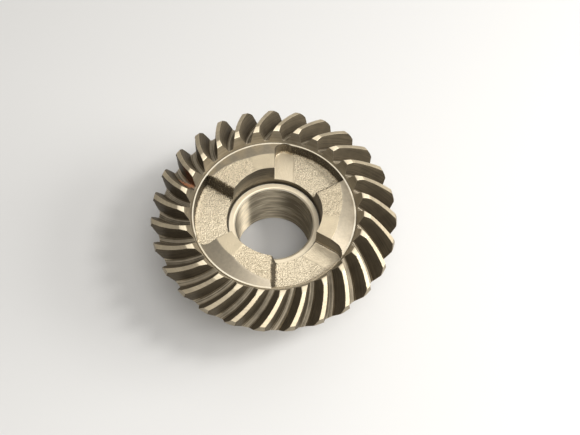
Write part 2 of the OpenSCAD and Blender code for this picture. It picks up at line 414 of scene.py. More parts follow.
class Blank:
    """The section of the turned blank: cones, levels and radii worked out from the driving sizes."""

    def __init__(self, teeth, face, hub):
        pitch = math.atan(teeth.pinion_teeth / teeth.teeth)
        self.sin, self.cos = math.sin(pitch), math.cos(pitch)
        self.module_per_a = 2 * self.cos / teeth.teeth
        face_drop = pitch - math.atan(teeth.addendum * self.module_per_a)
        root_drop = pitch + math.atan(teeth.dedendum * self.module_per_a)
        self.floor_z = face.rim_h - face.pocket_depth
        self.lug_z = face.rim_h + face.lug_h
        self.ring_z = face.rim_h - face.counterbore_depth
        self.rim_in = face.rim_r - face.rim_w / 2
        self.rim_out = face.rim_r + face.rim_w / 2
        self.groove_z = face.rim_h - face.rim_groove
        self.toe_foot_r = self.rim_out + face.rim_groove_w
        toe_root_z = face.rim_h + face.toe_step
        toe_root_r = self.toe_foot_r + (toe_root_z - self.groove_z) * self.sin / self.cos
        self.apex_z = toe_root_z + toe_root_r * math.tan(root_drop)
        self.toe_a = self.on_cone(toe_root_r, toe_root_z)[0]
        toe_tip = self.toe_a * (self.sin - teeth.addendum * self.module_per_a * self.cos)
        self.crown_z = self.apex_z - toe_tip - teeth.crown_cut
        crown_out_r = (self.apex_z - self.crown_z) / math.tan(face_drop)
        self.crown_a = self.on_cone(crown_out_r, self.crown_z)[0]
        tip_r = teeth.outer_r - teeth.heel_edge_w
        tip_z = self.apex_z - tip_r * math.tan(face_drop)
        heel_z = tip_z - teeth.heel_edge_h
        self.tip_end = self.on_cone(tip_r, tip_z)
        self.heel_end = self.on_cone(teeth.outer_r, heel_z)
        depth = (teeth.addendum + teeth.dedendum) * self.module_per_a * self.heel_end[0]
        self.low_z = heel_z - (depth - teeth.heel_edge_h + hub.heel_rim) * self.cos
        drop = (self.apex_z - self.low_z) * self.sin
        self.low_r = (self.heel_end[0] - drop) / self.cos
        self.web_z = hub.journal_l + hub.shoulder_h
        mid_a = (self.heel_end[0] + self.toe_a) / 2
        self.cutter_r = teeth.cutter_r
        self.cutter_center = math.sqrt(
            mid_a**2 + teeth.cutter_r**2 - 2 * mid_a * teeth.cutter_r * math.sin(teeth.spiral)
        )

    def on_cone(self, r, z):
        """Distance from the point of the cones along the pitch cone, and height above that cone."""
        down = self.apex_z - z
        return r * self.cos + down * self.sin, r * self.sin - down * self.cos

    def in_section(self, a, h):
        """Radius and height of a point given along and above the pitch cone."""
        return a * self.cos + h * self.sin, self.apex_z - a * self.sin + h * self.cos

    def cutter_angle(self, a):
        """Place of the lengthwise tooth curve on the cutter circle."""
        return np.arccos((a**2 + self.cutter_center**2 - self.cutter_r**2) / (2 * a * self.cutter_center))

    def spiral_turn(self, a):
        """Turn of a tooth about the axis at one distance along the cone."""
        return (self.cutter_angle(a) - self.cutter_angle(self.toe_a)) / self.cos


class Skin:
    """Closed rings of points joined into one surface, with a finish for every face. Each point has three
    marks for the finishes, and a forged mark that is above zero where the surface is as forged."""

    def __init__(self):
        self.points = []
        self.marks = []
        self.forged = []
        self.faces = []
        self.zones = []
        self.count = 0

    def ring(self, points, marks=0.0, forged=0.0):
        """Adds a closed ring of points and returns their numbers."""
        size = len(points)
        self.points.append(points)
        self.marks.append(np.broadcast_to(marks, (size, 3)))
        self.forged.append(np.broadcast_to(forged, (size,)))
        self.count += size
        return np.arange(self.count - size, self.count)

    def strip(self, low, high, zones):
        """Joins two rings that have the same number of points."""
        quads = np.stack([low, np.roll(low, -1), np.roll(high, -1), high], axis=-1)
        self.faces += quads.tolist()
        self.zones += np.broadcast_to(zones, (len(low),)).tolist()

    def bridge(self, low, high, zone):
        """Joins two rings with different numbers of points, in order of their angles."""
        points = np.concatenate(self.points)
        low, low_turn = self.from_start(points, low)
        high, high_turn = self.from_start(points, high)
        i = j = 0
        while i + 1 < len(low) or j + 1 < len(high):
            if j + 1 == len(high) or (i + 1 < len(low) and low_turn[i + 1] <= high_turn[j + 1]):
                self.faces.append([low[i], low[i + 1], high[j]])
                i += 1
            else:
                self.faces.append([low[i], high[j + 1], high[j]])
                j += 1
            self.zones.append(zone)

    @staticmethod
    def from_start(points, ring):
        """A ring turned to start at its smallest angle and closed at its end, with its angles."""
        turn = np.arctan2(points[ring, 1], points[ring, 0])
        start = int(np.argmin(turn))
        ring, turn = np.roll(ring, -start), np.roll(turn, -start)
        return np.append(ring, ring[0]).tolist(), np.append(turn, turn[0] + 2 * math.pi)

    def mesh(self, name):
        """The closed mesh, with points that fell together joined and faces turned outwards."""
        made = bpy.data.meshes.new(name)
        made.from_pydata(np.concatenate(self.points).tolist(), [], self.faces)
        made.polygons.foreach_set("material_index", self.zones)
        marks = made.attributes.new("marks", "FLOAT_VECTOR", "POINT")
        marks.data.foreach_set("vector", np.concatenate(self.marks).astype(np.float32).ravel())
        forged = made.attributes.new("forged", "FLOAT", "POINT")
        forged.data.foreach_set("value", np.concatenate(self.forged).astype(np.float32))
        body = bmesh.new()
        body.from_mesh(made)
        bmesh.ops.remove_doubles(body, verts=body.verts, dist=JOIN_DISTANCE)
        bmesh.ops.dissolve_degenerate(body, edges=body.edges, dist=JOIN_DISTANCE)
        bmesh.ops.recalc_face_normals(body, faces=body.faces)
        body.to_mesh(made)
        body.free()
        return made


def polar(r, turn, z):
    """Points from radii, angles and heights."""
    r, turn, z = np.broadcast_arrays(r, turn, z)
    return np.stack([r * np.cos(turn), r * np.sin(turn), z], axis=-1)


def half_outline(teeth, blank, a, inset):
    """Half of a tooth's outline at one distance along the cone, from the middle of its tip to the middle of
    the space: heights above the pitch cone and angles from the middle of the tooth. It can be set in by a
    small distance, for the broken edges at the tooth ends."""
    module = a * blank.module_per_a
    crown = (blank.crown_z - blank.apex_z + a * blank.sin) / blank.cos
    top = max(0.0, teeth.addendum - crown / module)
    edge_break = teeth.edge_break / module
    flank_end = teeth.addendum + teeth.dedendum - teeth.root_fillet

    def half_tooth(depth):
        return teeth.tip_land / 2 + depth * math.tan(teeth.pressure) - teeth.flank_curve / 2 * depth**2

    # Each point: depth below the tip and half of the tooth's width in modules, then the way inwards
    edge = half_tooth(top)
    points = [
        (top, 0.0, 1.0, 0.0),
        (top, 0.6 * edge, 1.0, 0.0),
        (top, edge - edge_break, 1.0, -0.4),
        (top + edge_break, half_tooth(top + edge_break), 0.5, -0.8),
    ]
    for i in range(1, FLANK_STEPS + 1):
        depth = top + edge_break + (flank_end - top - edge_break) * i / FLANK_STEPS
        points.append((depth, half_tooth(depth), math.sin(teeth.pressure), -math.cos(teeth.pressure)))
    for i in range(1, FILLET_STEPS + 1):
        turn = math.pi / 2 * i / FILLET_STEPS
        depth = flank_end + teeth.root_fillet * math.sin(turn)
        width = half_tooth(flank_end) + teeth.root_fillet * (1 - math.cos(turn))
        points.append((depth, width, math.sin(turn), -math.cos(turn)))
    depths, widths, down, across = np.array(points).T
    heights = (teeth.addendum - depths) * module - down * inset
    turns = (widths * module + across * inset) / (a * blank.cos + heights * blank.sin)
    half_pitch = math.pi / teeth.teeth
    turns = np.append(turns, [(turns[-1] + half_pitch) / 2, half_pitch])
    return np.append(heights, [heights[-1]] * 2), turns


class Teeth:
    """The belt of teeth. A ring runs right round through one point of each column: from the middle of a
    tooth's tip, over its flank, the root and the next flank, to just before the middle of the next tip."""

    def __init__(self, skin, teeth, face, blank):
        self.skin, self.teeth, self.blank = skin, teeth, blank
        half = ["tip"] * 3 + ["flank"] * FLANK_STEPS + ["root"] * (FILLET_STEPS + 2)
        self.zones = np.tile([ZONE[name] for name in half + half[::-1]], teeth.teeth)
        self.tips = self.zones == ZONE["tip"]
        self.starts = face.drive + teeth.phase + np.arange(teeth.teeth) * 2 * math.pi / teeth.teeth
        heel_a = blank.heel_end[0]
        self.heights, self.turns = self.outline(heel_a)
        r = blank.in_section(heel_a, self.heights)[0]
        steps = np.hypot(np.diff(self.heights), np.diff(self.turns) * r[1:])
        run = np.append(0.0, np.cumsum(steps))
        self.across = run - run[len(half)]

    def outline(self, a, inset=0.0):
        """Heights and angles of all columns of one tooth space at one distance along the cone."""
        heights, turns = half_outline(self.teeth, self.blank, a, inset)
        turns = np.append(turns, 2 * math.pi / self.teeth.teeth - turns[-2:0:-1])
        return np.append(heights, heights[-2:0:-1]), turns

    def all_round(self, r, turns, z, marks=0.0):
        """A ring from the radii, angles and heights of one tooth space, repeated for all of them."""
        n = self.teeth.teeth
        turn = (self.starts[:, None] + turns[None, :]).ravel()
        return self.skin.ring(polar(np.tile(r, n), turn, np.tile(z, n)), marks)

    def row(self, a, heights, turns):
        """A ring on the teeth, with marks for millimetres along and across the space, and its number."""
        a = np.broadcast_to(a, heights.shape)
        r, z = self.blank.in_section(a, heights)
        n = self.teeth.teeth
        across = self.across * a / self.blank.heel_end[0]
        marks = [np.tile(a, n) / MM, np.tile(across, n) / MM, np.repeat(np.arange(n), len(a))]
        return self.all_round(r, turns + self.blank.spiral_turn(a), z, np.stack(marks, axis=-1))

    def ends(self):
        """Distance along the cone at which each column runs out on the turned heel."""
        tip_a, tip_h = self.blank.tip_end
        heel_a, heel_h = self.blank.heel_end
        slope = self.heights / heel_a
        along = (tip_h - slope * tip_a) / (slope * (heel_a - tip_a) - (heel_h - tip_h))
        return np.where(self.heights > heel_h, tip_a + along * (heel_a - tip_a), heel_a)

    def add_toe(self):
        """Inner tooth ends and crowns. Returns the first ring, at the foot, and the last one."""
        blank, b = self.blank, self.teeth.edge_break
        heights, turns = self.outline(blank.toe_a, b)
        toe_r, toe_z = blank.in_section(blank.toe_a, heights)
        foot_r, foot_z = blank.toe_foot_r, blank.groove_z
        rings = []
        for share in np.arange(TOE_STEPS) / TOE_STEPS:
            r = foot_r + (toe_r - foot_r) * share
            z = foot_z + (toe_z - foot_z) * share
            rings.append(self.all_round(r, turns, z))
        rings.append(self.row(blank.toe_a, heights, turns))
        for low, high in zip(rings, rings[1:]):
            self.skin.strip(low, high, ZONE["toe"])
        last = rings[-1]
        for i, a in enumerate(np.linspace(blank.toe_a + b, blank.crown_a, CROWN_STEPS + 1)):
            here = self.row(a, *self.outline(a))
            sides = ZONE["toe"] if i == 0 else self.zones
            self.skin.strip(last, here, np.where(self.tips, ZONE["crown"], sides))
            last = here
        return rings[0], last

    def add_length(self, last):
        """The teeth from their crowns to the heel, with its turned edge. Returns the lowest heel ring."""
        blank, b = self.blank, self.teeth.edge_break
        heel_a, heel_h = blank.heel_end
        ends = self.ends()
        for i in range(1, LENGTH_STEPS + 1):
            a = blank.crown_a + (ends - b - blank.crown_a) * i / LENGTH_STEPS
            here = self.row(a, self.heights * a / heel_a, self.turns)
            self.skin.strip(last, here, self.zones)
            last = here
        heights, turns = self.outline(heel_a, b)
        heights = heights * ends / heel_a
        here = self.row(ends, heights, turns)
        self.skin.strip(last, here, ZONE["heel"])
        low_h = blank.on_cone(blank.low_r, blank.low_z)[1]
        corner_h = np.minimum(heights, heel_h)
        for i in range(HEEL_STEPS + 1):
            r, z = blank.in_section(heel_a, corner_h + (low_h - corner_h) * i / HEEL_STEPS)
            last, here = here, self.all_round(r, turns + blank.spiral_turn(ends), z)
            self.skin.strip(last, here, ZONE["heel"])
        return here


class Column:
    """Points of the lug side on one line outwards from the counterbore: radii, angles, heights, how much
    each is part of a wall and so painted in shade, the height of its grain, and its forged mark in
    millimetres."""

    def __init__(self, kind, r, turn, z, wall, grain, forged):
        self.kind = kind
        self.rows = np.stack(np.broadcast_arrays(r, turn, z, wall, grain, forged), axis=-1)

    def end(self, row, **changes):
        """The first or last point with some values changed."""
        point = self.rows[row].copy()
        for name, value in changes.items():
            point[("r", "turn", "z", "wall", "grain", "forged").index(name)] = value
        return point


class Face:
    """The toothed side inside the rim, for one lug and its pocket. Angles are taken from a drive face, and
    fall towards its pocket."""

    def __init__(self, face, blank):
        self.face, self.blank = face, blank
        self.pitch = 2 * math.pi / face.lugs
        self.end_turn = face.lug_span - self.pitch
        self.end_h = face.pocket_depth + face.lug_h - face.ramp_drop
        self.slot_y = blank.rim_in + face.slot_bite - face.slot_r
        self.slot_z = blank.floor_z - face.slot_step
        self.drive_shares = np.arange(DRIVE_STEPS) / DRIVE_STEPS
        steps_in = np.linspace(face.counterbore_r + face.edge_break, face.band_r, TOP_ROWS)
        steps_out = np.linspace(face.band_r, blank.rim_in - face.pocket_fillet, BAND_ROWS)[1:]
        turns = np.linspace(0, math.pi / 2, RIM_FILLET_ROWS + 1)[1:]
        steps_rim = blank.rim_in - face.pocket_fillet * (1 - np.sin(turns))
        self.radii = np.concatenate([steps_in, steps_out, steps_rim])

    def blank_z(self, r):
        """Height of the turned lug ring: flat top, then the band down to the rim."""
        share = (r - self.face.band_r) / (self.blank.rim_in - self.face.band_r)
        return self.blank.lug_z - self.face.lug_h * np.clip(share, 0, 1)

    def drive_edge(self, r):
        """Angle of the drive face: straight out, then round the end of the slot."""
        rho = self.face.slot_r
        centre = math.hypot(rho, self.slot_y)
        reach = (np.square(r) - centre**2 - rho**2) / (2 * rho * centre)
        turn = math.atan2(rho, self.slot_y) + np.arcsin(np.clip(reach, -1, 1))
        x, y = rho - rho * np.cos(turn), self.slot_y + rho * np.sin(turn)
        return np.where(r > self.slot_y, -np.arctan2(x, y), 0.0)

    def slot_end(self, turn):
        """Radius of the slot's round end in one direction, or zero beside it."""
        along = math.cos(turn) * self.slot_y - math.sin(turn) * self.face.slot_r
        under = along**2 - self.slot_y**2
        return along + math.sqrt(under) if under > 0 else 0.0

    def outside_slot(self, r, turn):
        """Distance outside the slot's outline, below zero inside it."""
        x = -r * np.sin(turn) - self.face.slot_r
        y = np.maximum(r * np.cos(turn) - self.slot_y, 0)
        return np.hypot(x, y) - self.face.slot_r

    def rim_fillet(self, r):
        """Height of the fillet between pocket floor and rim wall."""
        f = self.face.pocket_fillet
        x = np.clip(r - (self.blank.rim_in - f), 0, f)
        return self.blank.floor_z + f - np.sqrt(f**2 - x**2)

    def near_rim(self, r):
        """How far a point is up the fillet at the rim wall, from 0 to 1."""
        return np.clip((r - self.blank.rim_in) / self.face.pocket_fillet + 1, 0, 1)

    def end_line(self, x):
        """Angles at all radii of the line at one distance from the forged end."""
        return self.end_turn + np.arcsin(x / self.radii)

    def forged_end(self):
        """Section across a forged lug end: distances from it, and heights above the pocket floor."""
        f = self.face
        foot_x = (f.pocket_fillet - (f.pocket_fillet - self.end_h) * math.sin(f.draft)) / math.cos(f.draft)
        spread = f.forged_round / math.cos(f.draft + f.ramp)
        crest_x = spread * (math.sin(f.draft) - math.cos(f.ramp))
        crest_y = self.end_h + spread * (math.sin(f.ramp) - math.cos(f.draft))
        over = np.linspace(math.pi / 2 - f.ramp, f.draft, CREST_STEPS + 1)
        under = np.linspace(math.pi + f.draft, 1.5 * math.pi, FOOT_STEPS + 1)
        crest = np.stack([crest_x + f.forged_round * np.cos(over), crest_y + f.forged_round * np.sin(over)])
        foot = np.stack([foot_x + f.pocket_fillet * np.cos(under), f.pocket_fillet * (1 + np.sin(under))])
        shares = np.linspace(0, 1, WALL_STEPS + 2)[1:-1]
        wall = crest[:, -1:] + (foot[:, :1] - crest[:, -1:]) * shares
        return np.concatenate([crest, wall, foot], axis=1)

    def lug_columns(self, end_x):
        """Top of a lug, from its drive edge to the rounding of its forged end."""
        face, r = self.face, self.radii
        start = self.drive_edge(r) + face.edge_break / r - self.pitch
        end = self.end_line(end_x)
        level_end = face.level_span - self.pitch
        fall = face.ramp_drop / (self.end_turn - level_end)
        for i in range(LUG_COLUMNS):
            turn = start + (end - start) * i / LUG_COLUMNS
            ramp = self.blank.lug_z - fall * (turn - level_end)
            level = self.blank_z(r)
            forged = level - ramp
            grain = np.clip(forged / face.grain, 0, 1)
            yield Column("lug", r, turn, np.minimum(level, ramp), 0.0, grain, forged / MM)

    def end_columns(self, section):
        """Forged end of a lug, from its rounded top to the foot of its fillet."""
        r, level = self.radii, self.blank_z(self.radii)
        # Painted shade along the section of a forged end, darkest on its wall, and up the fillet at the rim
        walls = np.interp(np.linspace(0, 1, section.shape[1]), END_SPOTS, END_SHADE)
        for i, ((x, h), wall) in enumerate(zip(section.T, walls)):
            kind = "end" if i > CREST_STEPS else "crest"
            z = np.minimum(level, np.maximum(self.blank.floor_z + h, self.rim_fillet(r)))
            forged = (level - self.blank.floor_z - h) / MM
            wall = np.maximum(wall, self.near_rim(r)) * (forged > 0)
            yield Column(kind, r, self.end_line(x), z, wall, END_GRAIN, forged)

    def floor_columns(self, start_x):
        """Floor of a pocket, from the foot of the forged end to the foot of the drive face."""
        face, blank = self.face, self.blank
        start = self.end_line(start_x)
        end = self.drive_edge(self.radii)
        for i in range(1, POCKET_COLUMNS + 1):
            share = 1 - (1 - i / POCKET_COLUMNS) ** SLOT_CROWDING
            turn = start + (end - start) * share
            outer = max(blank.rim_in, self.slot_end(float(turn[-1])))
            stretch = (outer - face.counterbore_r) / (blank.rim_in - face.counterbore_r)
            r = face.counterbore_r + (self.radii - face.counterbore_r) * stretch
            outside = self.outside_slot(r, turn)
            milled = np.clip(0.5 - outside / face.slot_blend, 0, 1)
            z = self.rim_fillet(r) * (1 - milled) + self.slot_z * milled
            near = self.near_rim(r)
            # Painted shade up the fillet at the rim wall, and a painted shadow along the foot of the drive
            # face
            wall = np.maximum(near**RIM_SHADE_FADE * (1 - milled), float(i == POCKET_COLUMNS))
            kind = "slot" if outside[-1] < 0 else "floor"
            yield Column(kind, r, turn, z, wall, (1 + near) * (1 - milled), outside / MM)

    def drive_columns(self):
        """Drive face, from above its foot to its broken edge."""
        r, top = self.radii, self.blank_z(self.radii)
        turn = self.drive_edge(r)
        for share in self.drive_shares[1:]:
            z = self.slot_z + (top - self.slot_z) * share
            yield Column("drive", r, turn, z, 0.0, 0.0, TURNED)
        yield Column("drive", r, turn, top - self.face.edge_break, 0.0, 0.0, TURNED)

    def columns(self):
        """All columns of one lug and its pocket, in order of their angles."""
        section = self.forged_end()
        yield from self.lug_columns(section[0, 0])
        yield from self.end_columns(section)
        yield from self.floor_columns(section[0, -1])
        yield from self.drive_columns()

    def paths(self):
        """Every column from the bottom of the counterbore wall to the outer edge of the rim land, with its
        kind, and the numbers of rows on the counterbore wall and on the rim wall."""
        face, blank, b = self.face, self.blank, self.face.edge_break
        low = blank.ring_z - face.relief_depth
        inner = self.slot_z + (blank.lug_z - self.slot_z) * self.drive_shares
        inner = [low, (low + self.slot_z) / 2, *inner, blank.lug_z - b]
        outer = [*(self.slot_z + (face.rim_h - self.slot_z) * self.drive_shares), face.rim_h - b]
        land_z = (face.rim_h, face.rim_h, face.rim_h - b)
        smooth = {"grain": 0.0, "forged": TURNED}
        paths, kinds = [], []
        for column in self.columns():
            inner_top = column.rows[0, 2] - (0 if column.kind == "drive" else b)
            wall = [column.end(0, r=face.counterbore_r, z=min(z, inner_top), **smooth) for z in inner]
            # The rim wall of a raw pocket is painted fully in shade
            raw = column.kind in ("end", "floor")
            changes = {"wall": 1.0, "grain": RIM_WALL_GRAIN} if raw else {}
            rim = [column.end(-1, z=max(z, column.rows[-1, 2]), **changes) for z in outer]
            land_r = (column.rows[-1, 0] + b, blank.rim_out - b, blank.rim_out)
            land = [column.end(-1, r=r, z=z, wall=0.0, **smooth) for r, z in zip(land_r, land_z)]
            paths.append(np.stack(wall + list(column.rows) + rim + land))
            kinds.append(column.kind)
        return np.stack(paths), np.array(kinds), len(inner), len(outer)


def add_face(skin, face, hub, blank):
    """Bore mouth, counterbore, lugs, pockets and rim land. Returns the rings at its inner and outer edge,
    and the angles of their points."""
    plan = Face(face, blank)
    paths, kinds, wall_rows, rim_rows = plan.paths()
    kinds = np.tile(kinds, face.lugs)
    pocket = np.repeat(np.arange(face.lugs), len(paths))
    starts = face.drive + np.arange(face.lugs) * plan.pitch
    turns = (starts[:, None] + paths[None, :, 0, 1]).ravel()
    rows = paths.shape[1]
    land = rows - LAND_ROWS

    # Turned rings from the bore outwards to the relief groove, each with the finish that starts there. The
    # lower part of the chamfer takes the bore's finish, and the narrow strips of bright rim finish across
    # the chamfer and at the ring's outer edge are painted highlights
    b = hub.bore_chamfer / MOUTH_STEPS
    bore_r, ring_z = hub.bore_r, blank.ring_z
    mouth_r, mouth_z = bore_r + hub.bore_chamfer, ring_z - hub.bore_chamfer
    relief_in = face.counterbore_r - face.relief_w
    section = [
        (bore_r, mouth_z - 3 * b, "bore"),
        (bore_r, mouth_z - b, "bore"),
        (bore_r + b / 2, mouth_z + b / 2, "bore"),
        (bore_r + b, mouth_z + b, "bore"),
        # Painted highlight: a narrow bright strip across the chamfer
        (bore_r + 2 * b, mouth_z + 2 * b, "rim"),
        (bore_r + 3 * b, mouth_z + 3 * b, "ring"),
        (mouth_r - b, ring_z - b, "ring"),
        (mouth_r - b / 2, ring_z - b / 2, "ring"),
        (mouth_r + b, ring_z, "ring"),
        (mouth_r + 2 * b, ring_z, "ring"),
        # Painted highlight: a narrow bright strip along the ring's outer edge and its broken edge
        (relief_in - 2 * b, ring_z, "rim"),
        (relief_in - b, ring_z, "rim"),
        (relief_in, ring_z - b, "counterbore"),
        (relief_in, ring_z - face.relief_depth, "counterbore"),
    ]
    rings = [skin.ring(polar(r, turns, z)) for r, z, _ in section]
    zones = [ZONE[zone] for _, _, zone in section]

    # Lug side, row by row. The left pocket's slot stayed as forged, and the front pocket's rim is raw.
    cast = (pocket == LEFT_POCKET) & np.isin(kinds, ("floor", "slot"))
    worn = (pocket == FRONT_POCKET) & np.isin(kinds, ("end", "floor", "slot"))
    for i in range(rows):
        r, turn, z, wall, grain, forged = (np.tile(values, face.lugs) for values in paths[:, i, :].T)
        turn = turn + np.repeat(starts, len(paths))
        if wall_rows <= i < land - rim_rows:
            forged = np.where(cast, np.maximum(forged, AS_FORGED), forged)
        raw = worn & (i >= land)
        z = z - raw * face.rim_wear
        # Drive faces, and the rim wall where a slot bites into it, get the drive faces' painted shade
        cut = (kinds == "drive") & (wall_rows <= i < land)
        cut = cut | ((kinds == "slot") & (land - rim_rows <= i < land))
        # First mark: how much painted shade a point gets; third: how much of the drive faces' painted shade
        # shows
        marks = np.stack([wall, np.where(raw, RAW_RIM, grain), cut * DRIVE_SHADE], axis=-1)
        rings.append(skin.ring(polar(r, turn, z), marks, np.where(raw, RAW_RIM, forged)))
        if i < wall_rows - 1:
            zones.append(ZONE["counterbore"])
        elif i >= land - 1:
            zones.append(ZONE["rim"])
        else:
            zones.append(ZONE["face"])
    for low, high, zone in zip(rings, rings[1:], zones):
        skin.strip(low, high, zone)
    return rings[0], rings[-1], turns


def add_back(skin, hub, blank, last, turns):
    """Bore, hub end, journal, shoulder and web. Returns the ring at the edge of the web."""
    b = hub.edge_break
    under_r = hub.journal_r - hub.undercut_depth
    under_z = hub.journal_l - hub.undercut_w
    cone = (blank.low_z - blank.web_z) / (blank.low_r - hub.web_r)
    bore_z = np.linspace(blank.ring_z - hub.bore_chamfer, hub.bore_chamfer, BORE_ROWS)
    section = [(hub.bore_r, z, "bore") for z in bore_z[1:]]
    section += [
        (hub.bore_r + hub.bore_chamfer, 0.0, "back"),
        (hub.journal_r - hub.journal_chamfer, 0.0, "back"),
        (hub.journal_r - b / 2, hub.journal_chamfer - b / 2, "back"),
        (hub.journal_r, hub.journal_chamfer + b / 2, "journal"),
        (hub.journal_r, under_z - b / 2, "journal"),
        (hub.journal_r - b / 2, under_z, "journal"),
        (under_r, under_z, "back"),
        (under_r, hub.journal_l + hub.undercut_rise, "back"),
        (hub.journal_r + hub.undercut_depth, hub.journal_l, "back"),
        (hub.shoulder_r - b, hub.journal_l, "journal"),
        (hub.shoulder_r, hub.journal_l + b, "back"),
        (hub.shoulder_r, blank.web_z - b, "back"),
        (hub.shoulder_r + b, blank.web_z, "back"),
        (hub.web_r - b, blank.web_z, "back"),
        (hub.web_r + b, blank.web_z + b * cone, "back"),
    ]
    for r, z, zone in section:
        here = skin.ring(polar(r, turns, z))
        skin.strip(last, here, ZONE[zone])
        last = here
    return last


def roughen(mesh, face):
    """Forged unevenness: moves the points of the forged faces along their normals by layered noise."""
    count = len(mesh.vertices)
    marks = np.zeros(count * 3, np.float32)
    forged = np.zeros(count, np.float32)
    mesh.attributes["marks"].data.foreach_get("vector", marks)
    mesh.attributes["forged"].data.foreach_get("value", forged)
    grain = marks.reshape(-1, 3)[:, 1]
    for i in np.flatnonzero((forged > 0) & (grain > 0)).tolist():
        vertex = mesh.vertices[i]
        coarse, fine = noise.noise(vertex.co / COARSE_GRAIN), noise.noise(vertex.co / FINE_GRAIN)
        uneven = COARSE_SHARE * coarse + (1 - COARSE_SHARE) * fine
        vertex.co += vertex.normal * (face.grain * float(grain[i]) * uneven)


class Tree:
    """A material's node tree, with short ways to add nodes and link them."""

    def __init__(self, name):
        self.material = bpy.data.materials.get(name) or bpy.data.materials.new(name)
        self.material.use_nodes = True
        self.tree = self.material.node_tree
        self.tree.nodes.clear()
        self.shader = self.add("ShaderNodeBsdfPrincipled")
        output = self.add("ShaderNodeOutputMaterial")
        self.tree.links.new(self.shader.outputs["BSDF"], output.inputs["Surface"])
        self.position = self.add("ShaderNodeTexCoord").outputs["Object"]

    def add(self, kind, inputs=(), **settings):
        """A node with its settings, and its inputs by number or name: values, or outputs to link."""
        node = self.tree.nodes.new(kind)
        for key, value in settings.items():
            setattr(node, key, value)
        for key, value in dict(inputs).items():
            self.put(node.inputs[key], value)
        return node

    def put(self, socket, value):
        """Sets an input to a value, or links it to an output."""
        if isinstance(value, bpy.types.NodeSocket):
            self.tree.links.new(value, socket)
        else:
            socket.default_value = value

    def math(self, operation, a, b=0.0, c=0.0):
        """A number reckoned from up to three others."""
        return self.add("ShaderNodeMath", {0: a, 1: b, 2: c}, operation=operation).outputs[0]

    def product(self, first, *others):
        """Several numbers multiplied."""
        for other in others:
            first = self.math("MULTIPLY", first, other)
        return first

    def vector(self, operation, a, b=(0.0, 0.0, 0.0)):
        """A vector or a number reckoned from two vectors."""
        node = self.add("ShaderNodeVectorMath", {0: a, 1: b}, operation=operation)
        return node.outputs["Value" if operation in ("LENGTH", "DOT_PRODUCT") else "Vector"]

    def split(self, vector):
        """The three parts of a vector."""
        return self.add("ShaderNodeSeparateXYZ", {0: vector}).outputs[:3]

    def joined(self, x, y, z):
        """A vector from its three parts."""
        return self.add("ShaderNodeCombineXYZ", {0: x, 1: y, 2: z}).outputs[0]

    def noise(self, vector, size, detail=3.0, roughness=0.55):
        """Noise from 0 to 1, with spots of a given size."""
        inputs = {"Vector": vector, "Scale": 1 / size, "Detail": detail, "Roughness": roughness}
        return self.add("ShaderNodeTexNoise", inputs).outputs["Fac"]

    def uneven(self, vector, size, amount, detail=3.0):
        """Noise about zero, of a given range."""
        return self.product(self.math("SUBTRACT", self.noise(vector, size, detail), 0.5), amount)

    def ramp(self, value, low, high):
        """A smooth step from 0 to 1 as a value goes from low to high."""
        inputs = {"Value": value, "From Min": low, "From Max": high}
        return self.add("ShaderNodeMapRange", inputs, interpolation_type="SMOOTHSTEP").outputs["Result"]

    def mix(self, share, a, b):
        """A colour between two others."""
        node = self.add("ShaderNodeMix", {0: share}, data_type="RGBA")
        for socket, value in ((node.inputs[6], a), (node.inputs[7], b)):
            self.put(socket, value if isinstance(value, bpy.types.NodeSocket) else (*value, 1.0))
        return node.outputs[2]

    def between(self, share, a, b):
        """A number between two others."""
        return self.add("ShaderNodeMix", {0: share, 2: a, 3: b}, data_type="FLOAT").outputs[0]

    def bump(self, height, depth, under=None):
        """Fine relief of a given depth, on top of another relief."""
        inputs = {"Height": height, "Distance": depth}
        if under is not None:
            inputs["Normal"] = under
        return self.add("ShaderNodeBump", inputs).outputs["Normal"]

    def attribute(self, name, output):
        """One of the marks that the mesh carries."""
        return self.add("ShaderNodeAttribute", attribute_name=name).outputs[output]

    def round_marks(self, width):
        """Noise drawn out round the axis in lines of a given width, as a lathe tool leaves it."""
        x, y, z = self.split(self.position)
        flat = self.joined(x, y, 0.0)
        around = self.vector("MULTIPLY", self.vector("NORMALIZE", flat), (LATHE_WAVES, LATHE_WAVES, 0.0))
        across = self.math("DIVIDE", self.math("ADD", self.vector("LENGTH", flat), z), width)
        return self.noise(self.vector("ADD", around, self.joined(0.0, 0.0, across)), size=1.0, detail=2.0)

    def spots(self, size, low, high):
        """Soft irregular patches of a given size."""
        return self.ramp(self.noise(self.position, size, detail=4.0), low, high)

    def finish(self, base, roughness, normal, metallic):
        """Gives the shader a finish and returns the material."""
        self.put(self.shader.inputs["Base Color"], base)
        self.put(self.shader.inputs["Roughness"], roughness)
        self.put(self.shader.inputs["Normal"], normal)
        self.shader.inputs["Metallic"].default_value = metallic
        return self.material

    def turned(self, amount):
        """Highlights drawn out across lines that run round the axis."""
        tangent = self.add("ShaderNodeTangent", direction_type="RADIAL", axis="Z").outputs[0]
        self.put(self.shader.inputs["Tangent"], tangent)
        self.shader.inputs["Anisotropic"].default_value = amount
        self.shader.inputs["Anisotropic Rotation"].default_value = ACROSS_LINES


def turned_steel(name, light, dark, width, depth, roughness, metallic, turned=0.0):
    """Steel off the lathe: fine lines round the axis, and soft patches of stain."""
    tree = Tree(name)
    lines = tree.round_marks(width)
    patches = tree.spots(STAIN_SIZE, low=0.35, high=0.7)
    share = tree.between(STAIN_SHARE, tree.ramp(lines, 0.25, 0.75), patches)
    base = tree.mix(share, dark, light)
    rough = tree.between(patches, roughness, roughness + STAIN_ROUGHER)
    normal = tree.bump(tree.round_marks(width / 4), depth / 2, tree.bump(lines, depth))
    if turned:
        tree.turned(turned)
    return tree.finish(base, rough, normal, metallic)


